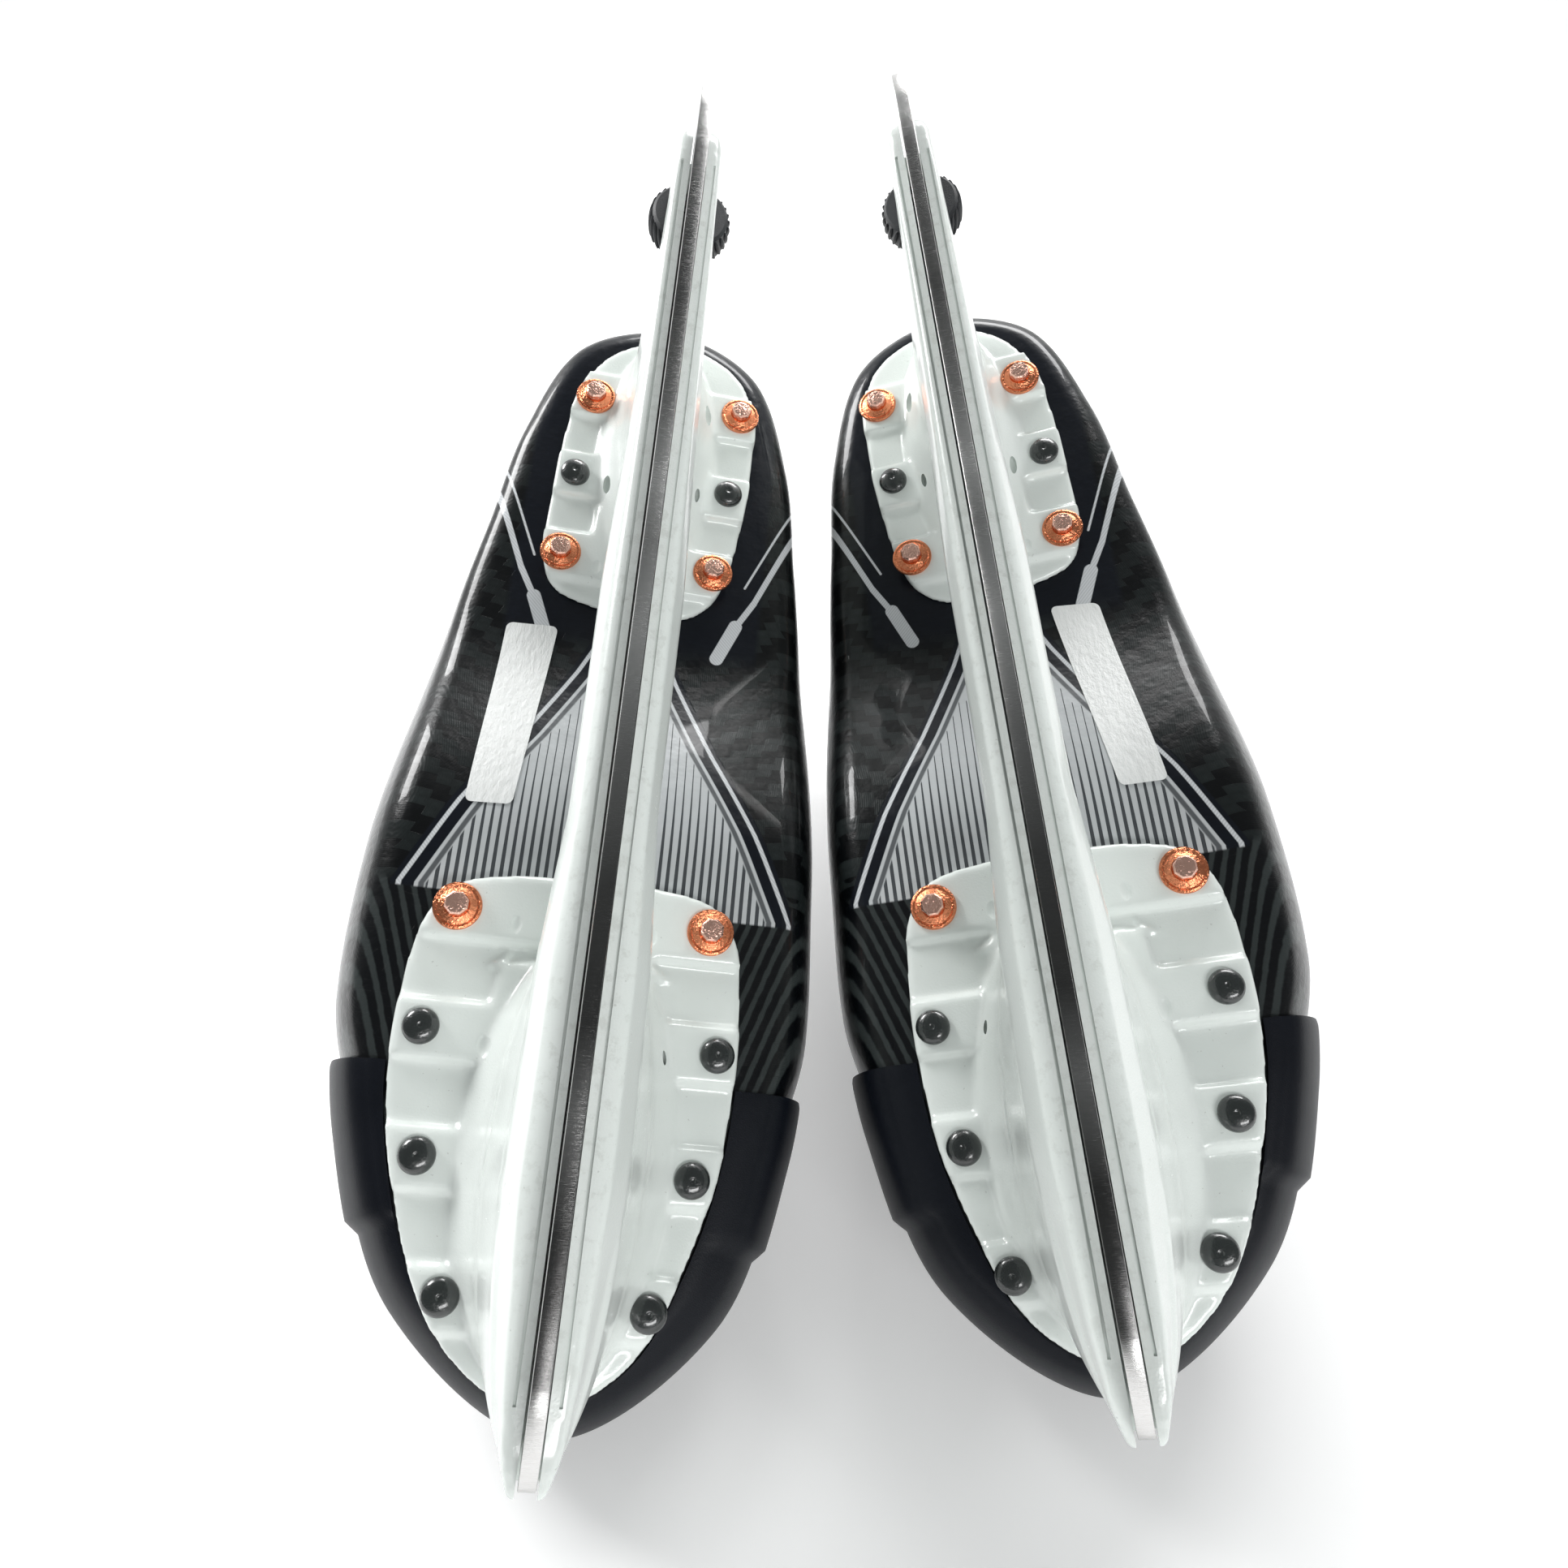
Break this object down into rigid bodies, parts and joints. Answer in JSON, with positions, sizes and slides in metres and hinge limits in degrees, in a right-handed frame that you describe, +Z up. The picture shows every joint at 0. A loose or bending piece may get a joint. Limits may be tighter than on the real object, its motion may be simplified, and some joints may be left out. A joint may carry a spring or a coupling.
{
  "type": "ice hockey skates",
  "caption": "Pair of ice hockey skates lying soles up, with moulded boots, riveted blade holders and steel runners released by a lock wheel.",
  "frame": {"origin": "middle of the bounding box, on the floor that the pair lies on", "axes": "+Z up, +X to the skate worn on the right foot, -Y towards the toes"},
  "size_m": [0.2312, 0.3838, 0.241],
  "materials": {
    "carbon": "gloss woven fibre laminate",
    "cap": "smooth satin",
    "lining": "brushed knit",
    "synthetic": "grained synthetic",
    "felt": "felt",
    "black_plastic": "satin",
    "white_plastic": "gloss",
    "steel": "ground and polished",
    "copper": "bright copper",
    "black_metal": "gloss black"
  },
  "bodies": {
    "boots_and_holders": {"right_boot_shell": "carbon", "right_boot_liner": "lining", "right_footbed": "synthetic", "right_toe_cap": "cap", "right_eyestay_lateral": "synthetic", "right_eyestay_medial": "synthetic", "right_blade_holder": "white_plastic", "right_copper_rivet_1": "copper", "right_copper_rivet_2": "copper", "right_copper_rivet_3": "copper", "right_copper_rivet_4": "copper", "right_copper_rivet_5": "copper", "right_copper_rivet_6": "copper", "right_black_rivet_1": "black_metal", "right_black_rivet_2": "black_metal", "right_black_rivet_3": "black_metal", "right_black_rivet_4": "black_metal", "right_black_rivet_5": "black_metal", "right_black_rivet_6": "black_metal", "right_black_rivet_7": "black_metal", "right_black_rivet_8": "black_metal", "left_boot_shell": "carbon", "left_boot_liner": "lining", "left_footbed": "synthetic", "left_toe_cap": "cap", "left_eyestay_lateral": "synthetic", "left_eyestay_medial": "synthetic", "left_blade_holder": "white_plastic", "left_copper_rivet_1": "copper", "left_copper_rivet_2": "copper", "left_copper_rivet_3": "copper", "left_copper_rivet_4": "copper", "left_copper_rivet_5": "copper", "left_copper_rivet_6": "copper", "left_black_rivet_1": "black_metal", "left_black_rivet_2": "black_metal", "left_black_rivet_3": "black_metal", "left_black_rivet_4": "black_metal", "left_black_rivet_5": "black_metal", "left_black_rivet_6": "black_metal", "left_black_rivet_7": "black_metal", "left_black_rivet_8": "black_metal"},
    "right_tongue": {"right_tongue": "felt"},
    "right_tendon_guard": {"right_tendon_guard": "black_plastic"},
    "right_runner": {"right_runner": "steel"},
    "right_lock_bolt": {"right_lock_bolt": "steel"},
    "right_lock_wheel": {"right_lock_wheel": "black_plastic"},
    "left_tongue": {"left_tongue": "felt"},
    "left_tendon_guard": {"left_tendon_guard": "black_plastic"},
    "left_runner": {"left_runner": "steel"},
    "left_lock_bolt": {"left_lock_bolt": "steel"},
    "left_lock_wheel": {"left_lock_wheel": "black_plastic"}
  },
  "joints": [
    {"name": "right_lock_wheel_turn", "type": "hinge", "parent": "boots_and_holders", "child": "right_lock_wheel", "pos_m": [0.02915, 0.04069, 0.21039], "axis": [-0.2155, -0.6094, 0.763], "range_deg": [0, 1440]},
    {"name": "right_lock_bolt_drop", "type": "slide", "parent": "boots_and_holders", "child": "right_lock_bolt", "axis": [-0.2155, -0.6094, 0.763], "range_m": [0, 0.0051]},
    {"name": "right_runner_release", "type": "hinge", "parent": "boots_and_holders", "child": "right_runner", "pos_m": [0.04922, -0.15222, 0.0714], "axis": [0.9723, -0.0614, 0.2256], "range_deg": [0, 1.2]},
    {"name": "right_tongue_flip", "type": "hinge", "parent": "boots_and_holders", "child": "right_tongue", "pos_m": [0.06286, -0.07702, 0.03309], "axis": [-0.9723, 0.0614, -0.2256], "range_deg": [0, 45]},
    {"name": "right_tendon_guard_flex", "type": "hinge", "parent": "boots_and_holders", "child": "right_tendon_guard", "pos_m": [0.06837, 0.14373, 0.06942], "axis": [0.9723, -0.0614, 0.2256], "range_deg": [0, 25], "stiffness_Nm_per_rad": 5},
    {"name": "left_lock_wheel_turn", "type": "hinge", "parent": "boots_and_holders", "child": "left_lock_wheel", "pos_m": [-0.02915, 0.03349, 0.21039], "axis": [0.2155, -0.6094, 0.763], "range_deg": [0, 1440]},
    {"name": "left_lock_bolt_drop", "type": "slide", "parent": "boots_and_holders", "child": "left_lock_bolt", "axis": [0.2155, -0.6094, 0.763], "range_m": [0, 0.0051]},
    {"name": "left_runner_release", "type": "hinge", "parent": "boots_and_holders", "child": "left_runner", "pos_m": [-0.04922, -0.15942, 0.0714], "axis": [0.9723, 0.0614, -0.2256], "range_deg": [0, 1.2]},
    {"name": "left_tongue_flip", "type": "hinge", "parent": "boots_and_holders", "child": "left_tongue", "pos_m": [-0.06286, -0.08422, 0.03309], "axis": [-0.9723, -0.0614, 0.2256], "range_deg": [0, 45]},
    {"name": "left_tendon_guard_flex", "type": "hinge", "parent": "boots_and_holders", "child": "left_tendon_guard", "pos_m": [-0.06837, 0.13653, 0.06942], "axis": [0.9723, 0.0614, -0.2256], "range_deg": [0, 25], "stiffness_Nm_per_rad": 5}
  ],
  "couplings": [
    {"joint": "right_lock_bolt_drop", "follows": "right_runner_release", "m_per_rad": 0.2385},
    {"joint": "right_lock_wheel_turn", "follows": "right_runner_release", "ratio": 1199.9},
    {"joint": "left_lock_bolt_drop", "follows": "left_runner_release", "m_per_rad": 0.2385},
    {"joint": "left_lock_wheel_turn", "follows": "left_runner_release", "ratio": 1199.9}
  ]
}
